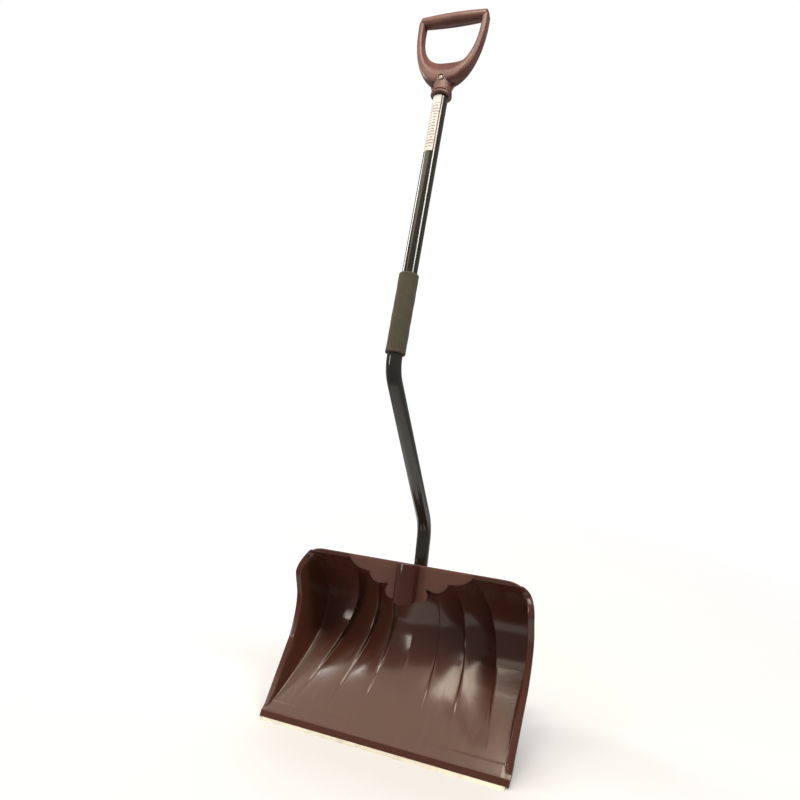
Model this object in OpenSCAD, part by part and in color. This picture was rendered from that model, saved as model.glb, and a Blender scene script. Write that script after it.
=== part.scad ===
// Snow shovel with a ribbed scoop, a bent steel handle, a sleeve grip and a D-grip.
// Units are millimetres. +X runs along the scoop's edge, +Y is backwards (away from
// the hollow of the scoop) and +Z is up. The origin is the middle of the wear strip's
// ground edge. The handle and everything on it lie in the plane X = 0.

/* [Scoop] */
// Width of the scoop across its two rims
blade_w = 458; // [440:1:480]
// Height of the scoop above its lower edge
blade_h = 269; // [262:1:276]
// Wall thickness of the scoop
blade_t = 3; // [2.5:0.1:3.5]
// Radius of the two upper corners of the rim
corner_r = 46; // [40:1:52]
// How far the hollow lies behind the lower edge at the middle
hollow_d = 160; // [150:1:170]
// Height above the lower edge at which the hollow is deepest
hollow_z = 150; // [145:1:155]
// How far the top rim lies behind the lower edge
rim_d = 139; // [132:1:146]
// Width of the flat flange along the sides of the rim
flange_w = 10; // [8:0.5:12]
// Height of the blunt lip along the lower edge
lip_h = 8; // [6:0.5:9]

/* [Ribs] */
// Distance of the three crest lines from the middle, at the deepest height
crest_x = [48, 89, 139];
// How much further back each crest lies than the middle
crest_y = [7, 27, 40];
// Height of the step at each crest
step_h = [7, 10, 16];
// How strongly each crest line fans out towards the lower edge
crest_fan = [0.2, 0.68, 1];
// Width of the sloped face of each step
step_w = 5; // [4:0.5:7]

/* [Wear strip] */
// Length of the wear strip
strip_l = 446; // [400:1:450]
// Thickness of the wear strip
strip_t = 1.5; // [1.2:0.1:2]
// How far the wear strip reaches past the scoop's edge
strip_reach = 10; // [8:0.5:12]
// How far the wear strip runs back under the scoop
strip_back = 28; // [22:1:34]
// Number of rivets
rivet_n = 5; // [3:1:7]
// Diameter of a rivet's shank
rivet_d = 4; // [3:0.5:5]

/* [Handle] */
// Outside diameter of the handle tube
tube_d = 25.4; // [24:0.1:26]
// Wall thickness of the handle tube
tube_wall = 1.2; // [1:0.1:1.6]
// Backward lean of the lowest stretch
lean_low = 15.5; // [13:0.5:18]
// Forward lean of the middle stretch
lean_mid = 25; // [22:0.5:28]
// Backward lean of the upper stretch
lean_up = 24; // [22:0.5:26]
// Length of the lowest stretch, to the first bend's corner
run_low = 122; // [115:1:130]
// Length of the middle stretch between the bends' corners
run_mid = 336; // [320:1:350]
// Length of the upper stretch, from the second bend's corner
run_up = 535; // [520:1:560]
// Radius of the first bend
bend_low_r = 70; // [60:1:80]
// Radius of the second bend
bend_up_r = 55; // [50:1:60]

/* [Grips] */
// Outside diameter of the foam sleeve
foam_d = 33.6; // [31:0.1:36]
// Length of the foam sleeve
foam_l = 138; // [120:1:150]
// Width of the D-grip
dgrip_w = 131; // [125:1:135]
// Distance from the D-grip's collar to the middle of its bar
dgrip_h = 160; // [155:1:168]
// Length of the paper label below the D-grip
label_l = 108; // [90:1:120]

/* [Hidden] */
plastic = [0.30, 0.19, 0.17];
grip_plastic = [0.42, 0.27, 0.24];

// Scoop: the lower edge stands behind and above the origin by the strip's reach.
strip_slope = 26;
edge_y = strip_reach * cos(strip_slope);
edge_z = strip_reach * sin(strip_slope);
lip_lean = 3;
lip_taper = 1;
pad_t = 5.6;
pad_z = 21;
rim_slope = 0.94;
rim_knee_z = 104;
rim_bend_r = 113;
rim_top_fwd = 3;
rim_top_back = rim_d - rim_slope * rim_knee_z - rim_bend_r * (1 - cos(atan(rim_slope))) + rim_top_fwd;
half_w = blade_w / 2;
corner_x = half_w - corner_r;
corner_z = blade_h - corner_r;
wall_w = 15;
base_x = half_w - flange_w - wall_w;
top_flange = 7;

function ramp(t) = let(c = min(max(t, 0), 1)) c * c * (3 - 2 * c);
function mix(a, b, t) = a + (b - a) * t;

// Depth of the side rim at height z: a slope, a round bend and a nearly upright end.
function rim_depth(z) = let(
        knee = rim_slope * rim_knee_z,
        lean = atan(rim_slope),
        a = min(max(z - rim_knee_z, 0) / rim_bend_r, sin(lean)),
        bend = rim_bend_r * (cos(lean - asin(a)) - cos(lean)))
    z < rim_knee_z ? rim_slope * z
    : knee + bend - rim_top_fwd * ramp((z - 180) / 40) + rim_top_back * ramp((z - 228) / 41);

// Depth of the hollow at the middle of the scoop, before ribs and curl.
function hollow(z) = let(t = min(max(z - lip_h, 0) / (hollow_z - lip_h), 1))
    z < lip_h ? lip_lean * z / lip_h : lip_lean + hollow_d * (1 - pow(1 - t, 1.85));

// Sideways spread of the crest lines at height z.
function fan(z) = 0.2 * (hollow_z - z) + 0.0011 * pow(max(hollow_z - z, 0), 2);
function crest(i, z) = crest_x[i] + crest_fan[i] * fan(min(z, 215));

// Depth that the crests add across the width, then the rounded trough before each step.
function crest_depth(x, z) = lookup(abs(x), [
        [0, 0], [crest(0, z), crest_y[0]], [crest(1, z), crest_y[1]],
        [crest(2, z), crest_y[2]], [base_x, crest_y[2] + 5]]);
function trough(x, z, i) = let(
        from = i == 0 ? 0 : crest(i - 1, z),
        to = crest(i, z),
        t = (abs(x) - from) / (to - step_w - from))
    abs(x) <= from || abs(x) >= to ? 0
    : step_h[i] * pow(min(t, 1), 1.7) * (1 - ramp((abs(x) - to + step_w) / step_w));
function ribs(x, z) = (trough(x, z, 0) + trough(x, z, 1) + trough(x, z, 2))
    * ramp((z - 22) / 85) * (1 - ramp((z - 190) / 55));

// The floor of the scoop with its ribs, then the curl that brings it forward to the rim.
function floor_depth(x, z) = hollow(z) + crest_depth(x, z) * ramp((z - 15) / 100) + ribs(x, z);
function curl(z) = 1 - pow(min(max((z - hollow_z) / (blade_h - top_flange - hollow_z), 0), 1), 2);

// Front surface of the scoop. side is the distance in from the rim's outline,
// and turn goes from 0 on the side rims to 1 on the top rim.
function front_y(x, z, side, turn) = let(
        base = rim_d + (floor_depth(x, z) - rim_d) * curl(z),
        rim_y = min(rim_depth(z), base),
        narrow = mix(0.35, 1, ramp((z - 8) / 65)),
        wall = mix(ramp((side - flange_w * mix(0.5, 1, ramp(z / 30))) / (wall_w * narrow)), 1, ramp(turn)))
    rim_y + (base - rim_y) * wall;

// Position on the outline's grid: d in from the side, e down from the top.
function grid_xz(d, e) = let(
        near = min(d, e),
        a = corner_r - near > 0.001 ? (d - e) / (corner_r - near) : 0,
        turn = 45 * (1 + a))
    d < corner_r && e < corner_r
    ? [corner_x + (corner_r - near) * cos(turn), corner_z + (corner_r - near) * sin(turn), near, turn / 90]
    : [half_w - d, blade_h - e, d, e < corner_r ? 1 : 0];
function on_front(d, e) = let(g = grid_xz(d, e)) [g[0], front_y(g[0], g[1], g[2], g[3]), g[1]];

// Distances in from the side for every grid column at height z, from the rim inwards.
function panel_columns(from, to, parts) = [for (k = [0 : parts - 1]) mix(from, to, k / parts)];
function columns(z) = let(c = [for (i = [0 : 2]) crest(i, z)]) concat(
    [0, flange_w * 0.5, flange_w],
    [for (k = [1 : 4]) flange_w + wall_w * k / 4],
    [for (x = concat(panel_columns(base_x - 1, c[2], 4),
                     [c[2]], panel_columns(c[2] - step_w, c[1], 5),
                     [c[1]], panel_columns(c[1] - step_w, c[0], 4),
                     [c[0]], panel_columns(c[0] - step_w, 0, 3), [0])) half_w - x]);

// Distances down from the top for every grid row.
row_drops = concat([0, top_flange, 14, 22, 30, 38, corner_r + 1],
    [for (k = [1 : 17]) mix(corner_r + 1, blade_h - pad_z - 3, k / 17)],
    [blade_h - pad_z, mix(blade_h - pad_z, blade_h - lip_h, 0.5), blade_h - lip_h, blade_h]);

function half_row(e) = [for (d = columns(blade_h - e)) [d, e]];
function unit(v) = v / norm(v);
// Outward normal on the back of the surface, from the slopes of the front surface.
function back_normal(d, e) = let(
        h = 1.2,
        d0 = max(d - h, 0), e0 = max(e - h, 0),
        across = on_front(d0, e) - on_front(d + h, e),
        down = on_front(d, e0) - on_front(d, min(e + h, blade_h)))
    unit(cross(down, across));
function wall_at(z) = mix(pad_t, blade_t, ramp((z - pad_z) / 6));
function mirrored(rows) = [for (r = rows) concat(r,
    [for (k = [len(r) - 2 : -1 : 0]) [-r[k][0], r[k][1], r[k][2]]])];
// Keeps the middle column of the back face in the plane X = 0.
function centred(p, d) = d > half_w - 0.01 ? [0, p[1], p[2]] : p;
// Along the lower edge the wall tapers to the plane of the wear strip.
function back_step(d, e) = e > blade_h - lip_h / 2 ? lip_taper * [0, cos(strip_slope), sin(strip_slope)]
    : wall_at(blade_h - e) * back_normal(d, e);

front_rows = mirrored([for (e = row_drops) [for (q = half_row(e)) on_front(q[0], q[1])]]);
function offset_rows(t) = mirrored([for (e = row_drops) [for (q = half_row(e))
    centred(on_front(q[0], q[1]) + t * back_step(q[0], q[1]), q[0])]]);
function flat_rows(y) = mirrored([for (e = row_drops) [for (q = half_row(e))
    let(g = grid_xz(q[0], q[1])) [g[0], y, g[1]]]]);

// Closed solid between two grids of points with the same rows and columns.
module between(a, b) {
    rows = len(a);
    cols = len(a[0]);
    n = rows * cols;
    loop = concat([for (j = [0 : cols - 1]) j],
                  [for (i = [1 : rows - 1]) i * cols + cols - 1],
                  [for (j = [cols - 2 : -1 : 0]) (rows - 1) * cols + j],
                  [for (i = [rows - 2 : -1 : 1]) i * cols]);
    cell = [for (i = [0 : rows - 2]) for (j = [0 : cols - 2]) i * cols + j];
    polyhedron(
        points = concat([for (r = a) for (p = r) p], [for (r = b) for (p = r) p]),
        faces = concat(
            [for (c = cell) [c, c + cols, c + 1]],
            [for (c = cell) [c + 1, c + cols, c + cols + 1]],
            [for (c = cell) [n + c, n + c + 1, n + c + cols]],
            [for (c = cell) [n + c + 1, n + c + cols + 1, n + c + cols]],
            [for (k = [0 : len(loop) - 1]) let(p = loop[k], q = loop[(k + 1) % len(loop)]) [p, q, n + p]],
            [for (k = [0 : len(loop) - 1]) let(p = loop[k], q = loop[(k + 1) % len(loop)])
                [q, n + q, n + p]]),
        convexity = 8);
}

// Handle: corners of the path in the plane X = 0, from the tube's lower end upwards.
function along(p, lean, run) = [0, p[1] + run * sin(lean), p[2] + run * cos(lean)];
corner_low = [0, 219.4, 322.5];
tube_end = along(corner_low, lean_low, -run_low);
corner_up = along(corner_low, -lean_mid, run_mid);
tangent_low = bend_low_r * tan((lean_low + lean_mid) / 2);
tangent_up = bend_up_r * tan((lean_up + lean_mid) / 2);
foam_start = 27;
collar_start = 498;
ferrule_bore = 37;

// Places children with +Z along a stretch that leans by the given angle.
module on_axis(p, lean, run = 0) {
    translate(along(p, lean, run)) rotate([-lean, 0, 0]) children();
}

// Stations of the handle's path as [point, lean], with a ring every few degrees of bend.
bend_steps = 9;
function bend_rings(corner, a, b, r, tangent) = let(
        way = b > a ? 1 : -1,
        start = along(corner, a, -tangent),
        centre = along(start, a + 90, way * r))
    [for (k = [0 : bend_steps]) let(lean = a + (b - a) * k / bend_steps)
        [along(centre, lean - 90, way * r), lean]];
handle_rings = concat(
    [[tube_end, lean_low]],
    bend_rings(corner_low, lean_low, -lean_mid, bend_low_r, tangent_low),
    bend_rings(corner_up, -lean_mid, lean_up, bend_up_r, tangent_up),
    [[along(corner_up, lean_up, run_up), lean_up]]);

// Tube swept along the path: outer and inner rings of points, closed at both ends.
tube_sides = 40;
function ring(station, r) = [for (k = [0 : tube_sides - 1]) let(a = 360 * k / tube_sides)
    along(station[0], station[1] + 90, r * sin(a)) + [r * cos(a), 0, 0]];
module swept_tube(stations, r_out, r_in) {
    n = len(stations);
    m = n * tube_sides;
    side = [for (i = [0 : n - 2]) for (k = [0 : tube_sides - 1])
        let(p = i * tube_sides + k, q = i * tube_sides + (k + 1) % tube_sides) [p, q]];
    end = [for (k = [0 : tube_sides - 1]) [k, (k + 1) % tube_sides]];
    last = m - tube_sides;
    polyhedron(
        points = concat([for (s = stations) for (p = ring(s, r_out)) p],
                        [for (s = stations) for (p = ring(s, r_in)) p]),
        faces = concat(
            [for (e = side) [e[0], e[0] + tube_sides, e[1] + tube_sides, e[1]]],
            [for (e = side) [m + e[1], m + e[1] + tube_sides, m + e[0] + tube_sides, m + e[0]]],
            [for (e = end) [e[0], e[1], m + e[1], m + e[0]]],
            [for (e = end) [last + e[1], last + e[0], m + last + e[0], m + last + e[1]]]),
        convexity = 10);
}

// Socket: a housing behind the curl that takes the lower end of the handle.
socket_r = tube_d / 2 + 4.5;
socket_top = 48;
socket_floor = 5;
web_t = 2.8;
plate_lean = 18;
plate_drop = [0, edge_y + rim_d, edge_z + blade_h];
bump_r = 20.5;
bump_l = 60;

// Lobed outline of the raised plate under the rim: x across, y down from the rim.
module plate_outline() {
    hull() for (s = [-1, 1]) translate([s * 24, -52]) circle(r = 14, $fn = 32);
    for (s = [-1, 1]) {
        translate([s * 52, -24]) circle(r = 21, $fn = 40);
        translate([s * 84, -4]) circle(r = 24, $fn = 40);
    }
    translate([-84, -24]) square([168, 24]);
    translate([-46, -50]) square([92, 50]);
}

module plate_frame() {
    translate(plate_drop) rotate([90 - plate_lean, 0, 0]) children();
}

module raised_plate() {
    plate_frame() translate([0, 0, -45]) linear_extrude(45)
        intersection() { plate_outline(); translate([-130, -100]) square([260, 100]); }
    plate_frame() rotate([90, 0, 0]) hull() {
        cylinder(r = bump_r, h = bump_l, $fn = 48);
        translate([0, 0, bump_l + 4]) cylinder(r = bump_r - 4, h = 0.1, $fn = 48);
    }
}

module socket_housing() {
    on_axis(tube_end, lean_low, -socket_floor) cylinder(r = socket_r, h = socket_top, $fn = 48);
    for (s = [-1, 0, 1]) hull() {
        on_axis(tube_end, lean_low, -socket_floor + 1)
            translate([s * (socket_r - 2) - web_t / 2, -2, 0]) cube([web_t, 2, socket_top - 4]);
        on_axis(tube_end, lean_low, -socket_floor + 2)
            translate([s * (socket_r - 2) - web_t / 2, -50, 0]) cube([web_t, 2, socket_top - 9]);
    }
    for (s = [-1, 1]) for (z = [6, 28]) hull() {
        on_axis(tube_end, lean_low, z) translate([s * socket_r - 1, -6, 0]) cube([2, 4, 2.5]);
        on_axis(tube_end, lean_low, z) translate([s * (socket_r + 34) - 1, -42, 0]) cube([2, 4, 2.5]);
    }
}

// Cross-section of the wear strip, and of the seat cut for it, t thick from its upper face.
function strip_profile(front, t) = let(
        back = [edge_y + strip_back * cos(strip_slope), edge_z + strip_back * sin(strip_slope)])
    [[0, 0], front, back + t * [sin(strip_slope), -cos(strip_slope)], back];
module strip_prism(front, t) {
    rotate([90, 0, 90]) translate([0, 0, -strip_l / 2]) linear_extrude(strip_l)
        polygon(strip_profile(front, t));
}

// Places children on the underside of the lower edge, with +Z out of the underside.
module under_edge(x, back) {
    translate([x, edge_y, edge_z]) rotate([strip_slope, 0, 0]) translate([0, back, 0])
        rotate([180, 0, 0]) children();
}
rivet_back = 15;
rivet_pitch = (strip_l - 50) / (rivet_n - 1);
rivet_x = [for (i = [0 : rivet_n - 1]) -strip_l / 2 + 25 + i * rivet_pitch];
rivet_bite = 3.4;
seat_t = 6;

module blade() {
    color(plastic) difference() {
        union() {
            translate([0, edge_y, edge_z]) between(front_rows, offset_rows(1));
            intersection() {
                raised_plate();
                translate([0, edge_y, edge_z]) between(flat_rows(-20), offset_rows(0.8));
            }
            intersection() {
                socket_housing();
                translate([0, edge_y, edge_z]) between(offset_rows(0.3), flat_rows(260));
            }
        }
        on_axis(tube_end, lean_low, 0) cylinder(d = tube_d + 0.2, h = 120, $fn = 48);
        strip_prism(seat_t * [sin(strip_slope), -cos(strip_slope)], seat_t);
        on_axis(tube_end, lean_low, screw_up) rotate([-90, 0, 0])
            cylinder(d = screw_d, h = 40, $fn = 24);
        for (x = rivet_x) under_edge(x, rivet_back) translate([0, 0, -rivet_bite])
            cylinder(d = rivet_d, h = 10, $fn = 24);
    }
}

// Flat galvanised strip riveted under the lower edge, its front end worn level.
module wear_strip() {
    color([0.78, 0.77, 0.70]) difference() {
        strip_prism([strip_t / sin(strip_slope), 0], strip_t);
        for (x = rivet_x) under_edge(x, rivet_back)
            translate([0, 0, -1]) cylinder(d = rivet_d, h = 8, $fn = 24);
    }
}

module wear_strip_rivets() {
    color([0.72, 0.72, 0.68]) for (x = rivet_x) under_edge(x, rivet_back) {
        translate([0, 0, -rivet_bite]) cylinder(d = rivet_d, h = rivet_bite + strip_t, $fn = 24);
        translate([0, 0, strip_t]) rotate_extrude($fn = 32)
            intersection() { translate([0, -4.2]) circle(r = 5.8, $fn = 64); square([5, 3]); }
    }
}

module handle_tube() {
    color([0.10, 0.10, 0.08]) difference() {
        swept_tube(handle_rings, tube_d / 2, tube_d / 2 - tube_wall);
        on_axis(tube_end, lean_low, screw_up) rotate([-90, 0, 0])
            cylinder(d = screw_d, h = 40, $fn = 24);
        on_axis(corner_up, lean_up, collar_start + grip_screw_up) rotate([90, 0, 0])
            cylinder(d = screw_d, h = 40, $fn = 24);
    }
}

module foam_grip() {
    color([0.22, 0.21, 0.17]) on_axis(corner_up, lean_up, foam_start) rotate_extrude($fn = 64) polygon([
        [tube_d / 2, 0], [foam_d / 2 - 1.5, 0], [foam_d / 2, 1.5],
        [foam_d / 2, foam_l - 3], [foam_d / 2 - 3, foam_l], [tube_d / 2, foam_l]]);
}

// D-grip: its own frame has +Z along the handle, from the collar's lower end.
bar_d = 25;
bar_crown = 2.3;
ferrule_r = 16.4;
bow_top = 150;
bow_outer_h = 129;
bow_front_h = 103;
bow_front_w = 109;
bow_back_h = 62;
bow_back_w = 106;
bow_rise = 12;
bow_depth = 10;
yoke_depth = 15;
gusset_t = 2.4;

// Edges of the bow that joins the bar's two ends below the hand opening, as [x, z] at a turn
// of 0 to 180 degrees round it. Its inner edge is deep and round in front, high and flat behind.
function sgn_pow(v, e) = sign(v) * pow(abs(v), e);
function bow_outer(turn) = [dgrip_w / 2 * sgn_pow(cos(turn), 0.85), bow_top - bow_outer_h * sin(turn)];
function bow_front(turn) =
    [bow_front_w / 2 * sgn_pow(cos(turn), 0.9), bow_top - bow_front_h * pow(sin(turn), 0.9)];
function bow_back(turn) =
    [bow_back_w / 2 * sgn_pow(cos(turn), 0.55), bow_top - bow_back_h * pow(sin(turn), 0.6)];
function bow_section(outer, front, back, depth) =
    [for (k = [0 : bow_sides - 1]) let(a = 360 * k / bow_sides, in = (1 - sgn_pow(cos(a), bow_edge)) / 2,
        deep = sgn_pow(sin(a), bow_edge), inner = mix(front, back, (1 + deep) / 2), p = mix(outer, inner, in))
        [p[0], depth * deep, p[1]]];
bow_edge = 0.7;
bow_sides = 18;
bow_steps = 22;
function bow_raised(side, t) = let(up = [0, bow_rise * t], pull = 4 * pow(t, 4))
    bow_section([side * (dgrip_w / 2 - pull), bow_top] + up,
        [side * (bow_front_w / 2 + pull / 2), bow_top] + up,
                [side * (bow_back_w / 2 + pull / 2), bow_top] + up, bow_depth * (1 - 0.35 * pow(t, 4)));
bow_rings = concat(
    [for (t = [1, 0.8, 0.4]) bow_raised(1, t)],
    [for (k = [0 : bow_steps]) let(turn = 180 * k / bow_steps)
        bow_section(bow_outer(turn), bow_front(turn), bow_back(turn),
            mix(bow_depth, yoke_depth, pow(sin(turn), 3)))],
    [for (t = [0.4, 0.8, 1]) bow_raised(-1, t)]);

// Closed solid through rings of points, with a flat cap at each end.
module skin(rings) {
    n = len(rings);
    m = len(rings[0]);
    polyhedron(
        points = [for (r = rings) for (p = r) p],
        faces = concat(
            [for (i = [0 : n - 2]) for (k = [0 : m - 1])
                let(q = (k + 1) % m) [i * m + k, i * m + q, (i + 1) * m + k]],
            [for (i = [0 : n - 2]) for (k = [0 : m - 1]) let(q = (k + 1) % m)
                [i * m + q, (i + 1) * m + q, (i + 1) * m + k]],
            [[for (k = [m - 1 : -1 : 0]) k]],
            [[for (k = [0 : m - 1]) (n - 1) * m + k]]),
        convexity = 8);
}

module d_grip() {
    color(grip_plastic) on_axis(corner_up, lean_up, collar_start) difference() {
        union() {
            rotate_extrude($fn = 64) polygon([
                [0, 0], [18, 0], [18.6, 1.5], [18.6, 4], [17.2, 5.5], [17.2, 8.5], [ferrule_r, 9.5],
                [ferrule_r, 34], [ferrule_r - 2.2, 50.7], [0, 57.3]]);
            skin(bow_rings);
            translate([-dgrip_w / 2 + 5, 0, dgrip_h])
                rotate([0, 90, 0]) rotate_extrude($fn = 48) polygon(concat(
                [[0, 0]],
                    [for (k = [0 : 12]) [bar_d / 2 + bar_crown * (sin(15 * k) - 1), (dgrip_w - 10) * k / 12]],
                [[0, dgrip_w - 10]]));
            for (s = [-1, 1]) translate([0, -gusset_t / 2, 0]) rotate([90, 0, 0]) mirror([0, 0, 1])
                linear_extrude(gusset_t)
                    polygon([[s * 14.6, 11], [s * 17, 9.9], [s * 25.5, 30], [s * 14.6, 39]]);
        }
        translate([0, 0, -1]) cylinder(d = tube_d + 0.2, h = ferrule_bore + 1.2, $fn = 48);
        translate([0, 0, grip_screw_up]) rotate([90, 0, 0]) cylinder(d = screw_d, h = 30, $fn = 24);
        translate([0, -ferrule_r + 2.4, grip_screw_up]) rotate([90, 0, 0])
            cylinder(d = screw_head_d + 1, h = 12, $fn = 32);
    }
}

// Pan-head screw with its head up along +Z and its shank down from the origin.
screw_d = 4.2;
screw_head_d = 8;
screw_up = 26;
grip_screw_up = 30.5;

module pan_screw(shank) {
    difference() {
        rotate_extrude($fn = 32) polygon([
            [0, -shank], [screw_d / 2 - 1, -shank], [screw_d / 2, -shank + 1.5], [screw_d / 2, 0],
            [screw_head_d / 2, 0], [screw_head_d / 2, 1], [screw_head_d / 2 - 1.6, 2.4], [0, 2.8]]);
        for (a = [0, 90]) rotate([0, 0, a]) translate([-2.4, -0.5, 1.6]) cube([4.8, 1, 3]);
    }
}

module d_grip_screw() {
    color([0.80, 0.78, 0.74]) on_axis(corner_up, lean_up, collar_start + grip_screw_up)
        rotate([90, 0, 0]) translate([0, 0, ferrule_r - 2.4]) pan_screw(8);
}

module socket_screw() {
    color([0.72, 0.72, 0.68]) on_axis(tube_end, lean_low, screw_up)
        rotate([-90, 0, 0]) translate([0, 0, socket_r]) pan_screw(9);
}

// Thin paper label wrapped half way round the front of the handle.
module handle_label() {
    color([0.90, 0.88, 0.85]) on_axis(corner_up, lean_up, collar_start - label_l - 2)
        rotate([0, 0, 115]) rotate_extrude(angle = 190, $fn = 96)
            translate([tube_d / 2, 0]) square([0.25, label_l]);
}

blade();
wear_strip();
wear_strip_rivets();
handle_tube();
foam_grip();
d_grip();
d_grip_screw();
socket_screw();
handle_label();
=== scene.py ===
"""Looks of the snow shovel: scoop, strip, bent handle, foam sleeve and D-grip."""
import logging
import math
from dataclasses import dataclass, field
from enum import Enum
from typing import Any, Callable, Sequence

import bmesh
import bpy
import numpy as np
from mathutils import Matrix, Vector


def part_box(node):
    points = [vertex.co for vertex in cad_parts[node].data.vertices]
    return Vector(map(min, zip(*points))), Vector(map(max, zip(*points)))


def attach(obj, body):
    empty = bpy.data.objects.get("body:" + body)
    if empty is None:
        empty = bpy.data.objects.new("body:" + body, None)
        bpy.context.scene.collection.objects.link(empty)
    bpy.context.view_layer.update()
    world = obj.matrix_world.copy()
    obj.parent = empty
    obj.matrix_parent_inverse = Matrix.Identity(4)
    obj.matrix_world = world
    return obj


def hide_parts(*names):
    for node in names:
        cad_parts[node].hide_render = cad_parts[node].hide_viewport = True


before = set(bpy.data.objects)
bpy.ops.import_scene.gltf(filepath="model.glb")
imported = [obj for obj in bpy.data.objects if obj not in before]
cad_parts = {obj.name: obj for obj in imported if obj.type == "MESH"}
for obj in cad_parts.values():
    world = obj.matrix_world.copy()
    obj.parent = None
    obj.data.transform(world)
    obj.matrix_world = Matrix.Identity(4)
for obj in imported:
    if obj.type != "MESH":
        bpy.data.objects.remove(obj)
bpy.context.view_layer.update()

logging.basicConfig(level=logging.INFO, format="%(message)s")
log = logging.getLogger("snow_shovel")

MM = 0.001
Array = np.ndarray
Skin = tuple[Array, list[list[int]]]  # points in millimetres, and faces as point numbers
Colour = tuple[float, float, float]
Point = tuple[float, float, float]
Span = tuple[float, float]  # where a change starts, and how far it runs
Material = bpy.types.Material


# ---- shader maths


def operator(operation: str, swapped: bool = False) -> Callable[["Wire", Any], "Wire"]:
    """Makes a Python operator out of a Math node's operation.

    Args:
        operation: The Math node's operation; comparisons give 1 or 0.
        swapped: Whether the right-hand value comes first.

    Returns:
        The operator, for Wire to hold.
    """
    def apply(self: "Wire", other: Any) -> "Wire":
        """Result of the operation on this wire and another value."""
        return self.graph.math(operation, *((other, self) if swapped else (self, other)))

    return apply


class Wire:
    """A material socket that can be used in Python expressions."""

    __add__ = __radd__ = operator("ADD")
    __sub__ = operator("SUBTRACT")
    __rsub__ = operator("SUBTRACT", swapped=True)
    __mul__ = __rmul__ = operator("MULTIPLY")
    __truediv__ = operator("DIVIDE")
    __gt__ = operator("GREATER_THAN")
    __lt__ = operator("LESS_THAN")

    def __init__(self, graph: "Graph", socket: Any) -> None:
        """Keeps the socket and the graph it belongs to."""
        self.graph = graph
        self.socket = socket


class Graph:
    """The node tree of one material."""

    def __init__(self, name: str) -> None:
        """Makes an empty material with an output node."""
        self.material = bpy.data.materials.new(name)
        self.material.use_nodes = True
        self.tree = self.material.node_tree
        self.tree.nodes.clear()
        self.output = self.tree.nodes.new("ShaderNodeOutputMaterial")

    def node(self, kind: str, settings: dict[str, Any] | None = None,
             inputs: dict[Any, Any] | None = None) -> Any:
        """Adds a node.

        Args:
            kind: The node's type.
            settings: Properties set first.
            inputs: Values or wires for the sockets, by name or number.

        Returns:
            The new node.
        """
        made = self.tree.nodes.new(kind)
        for key, value in (settings or {}).items():
            setattr(made, key, value)
        for key, value in (inputs or {}).items():
            if isinstance(value, Wire):
                self.tree.links.new(value.socket, made.inputs[key])
            elif isinstance(value, tuple) and len(value) == 3 and made.inputs[key].type == "RGBA":
                made.inputs[key].default_value = (*value, 1.0)
            else:
                made.inputs[key].default_value = value
        return made

    def wire(self, node: Any, output: Any = 0) -> Wire:
        """Wraps one output of a node."""
        return Wire(self, node.outputs[output])

    def math(self, operation: str, *values: Any, clamp: bool = False) -> Wire:
        """Result of a Math node for the operation on the values."""
        made = self.node("ShaderNodeMath", {"operation": operation, "use_clamp": clamp},
                         dict(enumerate(values)))
        return self.wire(made)

    def place(self) -> Wire:
        """Object coordinates, in metres."""
        return self.wire(self.node("ShaderNodeTexCoord"), "Object")

    def axes(self) -> tuple[Wire, Wire, Wire]:
        """X, Y and Z of the object coordinates."""
        parts = self.node("ShaderNodeSeparateXYZ", inputs={0: self.place()})
        return self.wire(parts, 0), self.wire(parts, 1), self.wire(parts, 2)

    def stretched(self, scale: Point) -> Wire:
        """Object coordinates scaled along each axis."""
        made = self.node("ShaderNodeVectorMath", {"operation": "MULTIPLY"}, {0: self.place(), 1: scale})
        return self.wire(made)

    def over(self, value: Any, limit: Any) -> Wire:
        """How far a value is over a limit, kept from 0 to 1."""
        return self.math("SUBTRACT", value, limit, clamp=True)

    def capped(self, value: Any, gain: Any) -> Wire:
        """A value times a gain, kept from 0 to 1."""
        return self.math("MULTIPLY", value, gain, clamp=True)

    def noise(self, scale: float, detail: float = 3.0, rough: float = 0.5,
              at: Wire | None = None) -> Wire:
        """Noise of the given scale, as a value around 0.5."""
        made = self.node("ShaderNodeTexNoise", inputs={
            "Vector": at or self.place(), "Scale": scale, "Detail": detail, "Roughness": rough})
        return self.wire(made, 0)

    def blend(self, factor: Any, a: Any, b: Any) -> Wire:
        """Mixes two colours."""
        made = self.node("ShaderNodeMix", {"data_type": "RGBA"}, {0: factor, 6: a, 7: b})
        return self.wire(made, 2)

    def bump(self, height: Wire, depth: float, strength: float = 1.0) -> Wire:
        """Turns a height from 0 to 1 into a normal; depth is in metres."""
        return self.wire(self.node("ShaderNodeBump", inputs={
            "Height": height, "Distance": depth, "Strength": strength}))

    def finish(self, **sockets: Any) -> Material:
        """Adds the surface shader and connects it.

        Args:
            **sockets: Its inputs, with underscores for spaces.

        Returns:
            The finished material.
        """
        shader = self.node("ShaderNodeBsdfPrincipled",
                           inputs={key.replace("_", " "): value for key, value in sockets.items()})
        self.tree.links.new(shader.outputs[0], self.output.inputs[0])
        return self.material


# ---- finishes


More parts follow.
